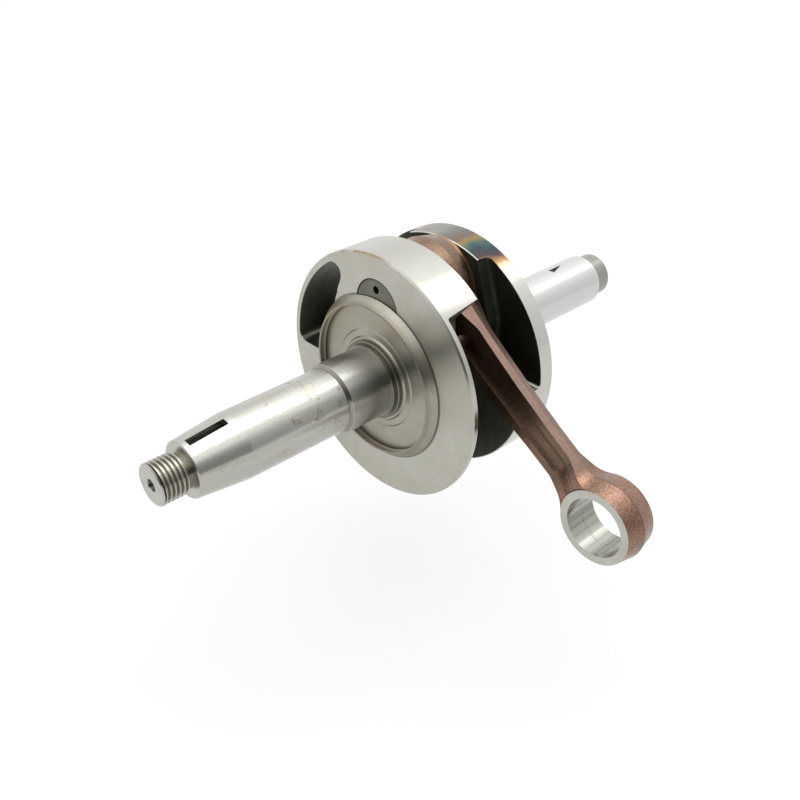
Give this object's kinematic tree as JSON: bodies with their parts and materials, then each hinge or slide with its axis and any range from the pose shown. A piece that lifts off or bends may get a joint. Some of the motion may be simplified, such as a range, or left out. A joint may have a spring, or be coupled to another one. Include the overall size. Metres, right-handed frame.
{
  "type": "crankshaft",
  "caption": "Built-up single-cylinder crankshaft: two round webs pressed on a crankpin, long tapered and threaded drive shaft, short plain shaft and a copper-plated connecting rod.",
  "frame": {"origin": "on the crank axis in the middle plane of the connecting rod", "axes": "+Y along the crank axis towards the short plain shaft, -Y towards the threaded drive end, +Z from the crank axis to the crankpin, +X towards the rod's small end at rest"},
  "size_m": [0.1429, 0.2121, 0.0904],
  "materials": {
    "turned_steel": "turned and ground forged steel, oily, heat tinted beside the pressed pin",
    "hardened_pin": "ground end face with a darker hardened tint",
    "pressed_steel": "thin pressed sheet, stained by oil",
    "copper_plated_forging": "matte granular copper plating over forged steel, ground bright at the eyes",
    "cage_steel": "plated cage",
    "washer_steel": "ground washer",
    "bearing_steel": "lapped rollers"
  },
  "bodies": {
    "crank": {"front_crank_half": "turned_steel", "rear_crank_half": "turned_steel", "crankpin": "hardened_pin", "oil_slinger": "pressed_steel"},
    "rod": {"connecting_rod": "copper_plated_forging"},
    "cage": {"roller_cage": "cage_steel"},
    "front_washer": {"thrust_washer_front": "washer_steel"},
    "rear_washer": {"thrust_washer_rear": "washer_steel"},
    "rolling_01": {"roller_01": "bearing_steel"},
    "rolling_02": {"roller_02": "bearing_steel"},
    "rolling_03": {"roller_03": "bearing_steel"},
    "rolling_04": {"roller_04": "bearing_steel"},
    "rolling_05": {"roller_05": "bearing_steel"},
    "rolling_06": {"roller_06": "bearing_steel"},
    "rolling_07": {"roller_07": "bearing_steel"},
    "rolling_08": {"roller_08": "bearing_steel"},
    "rolling_09": {"roller_09": "bearing_steel"},
    "rolling_10": {"roller_10": "bearing_steel"},
    "rolling_11": {"roller_11": "bearing_steel"},
    "rolling_12": {"roller_12": "bearing_steel"},
    "rolling_13": {"roller_13": "bearing_steel"},
    "rolling_14": {"roller_14": "bearing_steel"}
  },
  "joints": [
    {"name": "rod_swing", "type": "hinge", "parent": "crank", "child": "rod", "pos_m": [0, 0, 0.027], "axis": [0, 1, 0], "continuous": true},
    {"name": "cage_spin", "type": "hinge", "parent": "crank", "child": "cage", "pos_m": [0, 0, 0.027], "axis": [0, 1, 0], "continuous": true},
    {"name": "front_washer_float", "type": "hinge", "parent": "crank", "child": "front_washer", "pos_m": [0, 0, 0.027], "axis": [0, 1, 0], "continuous": true},
    {"name": "rear_washer_float", "type": "hinge", "parent": "crank", "child": "rear_washer", "pos_m": [0, 0, 0.027], "axis": [0, 1, 0], "continuous": true},
    {"name": "roller_01_spin", "type": "hinge", "parent": "cage", "child": "rolling_01", "pos_m": [0, 0, 0.0385], "axis": [0, 1, 0], "continuous": true},
    {"name": "roller_02_spin", "type": "hinge", "parent": "cage", "child": "rolling_02", "pos_m": [-0.00499, 0, 0.03736], "axis": [0, 1, 0], "continuous": true},
    {"name": "roller_03_spin", "type": "hinge", "parent": "cage", "child": "rolling_03", "pos_m": [-0.00899, 0, 0.03417], "axis": [0, 1, 0], "continuous": true},
    {"name": "roller_04_spin", "type": "hinge", "parent": "cage", "child": "rolling_04", "pos_m": [-0.01121, 0, 0.02956], "axis": [0, 1, 0], "continuous": true},
    {"name": "roller_05_spin", "type": "hinge", "parent": "cage", "child": "rolling_05", "pos_m": [-0.01121, 0, 0.02444], "axis": [0, 1, 0], "continuous": true},
    {"name": "roller_06_spin", "type": "hinge", "parent": "cage", "child": "rolling_06", "pos_m": [-0.00899, 0, 0.01983], "axis": [0, 1, 0], "continuous": true},
    {"name": "roller_07_spin", "type": "hinge", "parent": "cage", "child": "rolling_07", "pos_m": [-0.00499, 0, 0.01664], "axis": [0, 1, 0], "continuous": true},
    {"name": "roller_08_spin", "type": "hinge", "parent": "cage", "child": "rolling_08", "pos_m": [0, 0, 0.0155], "axis": [0, 1, 0], "continuous": true},
    {"name": "roller_09_spin", "type": "hinge", "parent": "cage", "child": "rolling_09", "pos_m": [0.00499, 0, 0.01664], "axis": [0, 1, 0], "continuous": true},
    {"name": "roller_10_spin", "type": "hinge", "parent": "cage", "child": "rolling_10", "pos_m": [0.00899, 0, 0.01983], "axis": [0, 1, 0], "continuous": true},
    {"name": "roller_11_spin", "type": "hinge", "parent": "cage", "child": "rolling_11", "pos_m": [0.01121, 0, 0.02444], "axis": [0, 1, 0], "continuous": true},
    {"name": "roller_12_spin", "type": "hinge", "parent": "cage", "child": "rolling_12", "pos_m": [0.01121, 0, 0.02956], "axis": [0, 1, 0], "continuous": true},
    {"name": "roller_13_spin", "type": "hinge", "parent": "cage", "child": "rolling_13", "pos_m": [0.00899, 0, 0.03417], "axis": [0, 1, 0], "continuous": true},
    {"name": "roller_14_spin", "type": "hinge", "parent": "cage", "child": "rolling_14", "pos_m": [0.00499, 0, 0.03736], "axis": [0, 1, 0], "continuous": true}
  ],
  "couplings": [
    {"joint": "cage_spin", "follows": "rod_swing", "ratio": 0.56522},
    {"joint": "roller_01_spin", "follows": "rod_swing", "ratio": 3.7681},
    {"joint": "roller_02_spin", "follows": "rod_swing", "ratio": 3.7681},
    {"joint": "roller_03_spin", "follows": "rod_swing", "ratio": 3.7681},
    {"joint": "roller_04_spin", "follows": "rod_swing", "ratio": 3.7681},
    {"joint": "roller_05_spin", "follows": "rod_swing", "ratio": 3.7681},
    {"joint": "roller_06_spin", "follows": "rod_swing", "ratio": 3.7681},
    {"joint": "roller_07_spin", "follows": "rod_swing", "ratio": 3.7681},
    {"joint": "roller_08_spin", "follows": "rod_swing", "ratio": 3.7681},
    {"joint": "roller_09_spin", "follows": "rod_swing", "ratio": 3.7681},
    {"joint": "roller_10_spin", "follows": "rod_swing", "ratio": 3.7681},
    {"joint": "roller_11_spin", "follows": "rod_swing", "ratio": 3.7681},
    {"joint": "roller_12_spin", "follows": "rod_swing", "ratio": 3.7681},
    {"joint": "roller_13_spin", "follows": "rod_swing", "ratio": 3.7681},
    {"joint": "roller_14_spin", "follows": "rod_swing", "ratio": 3.7681}
  ]
}
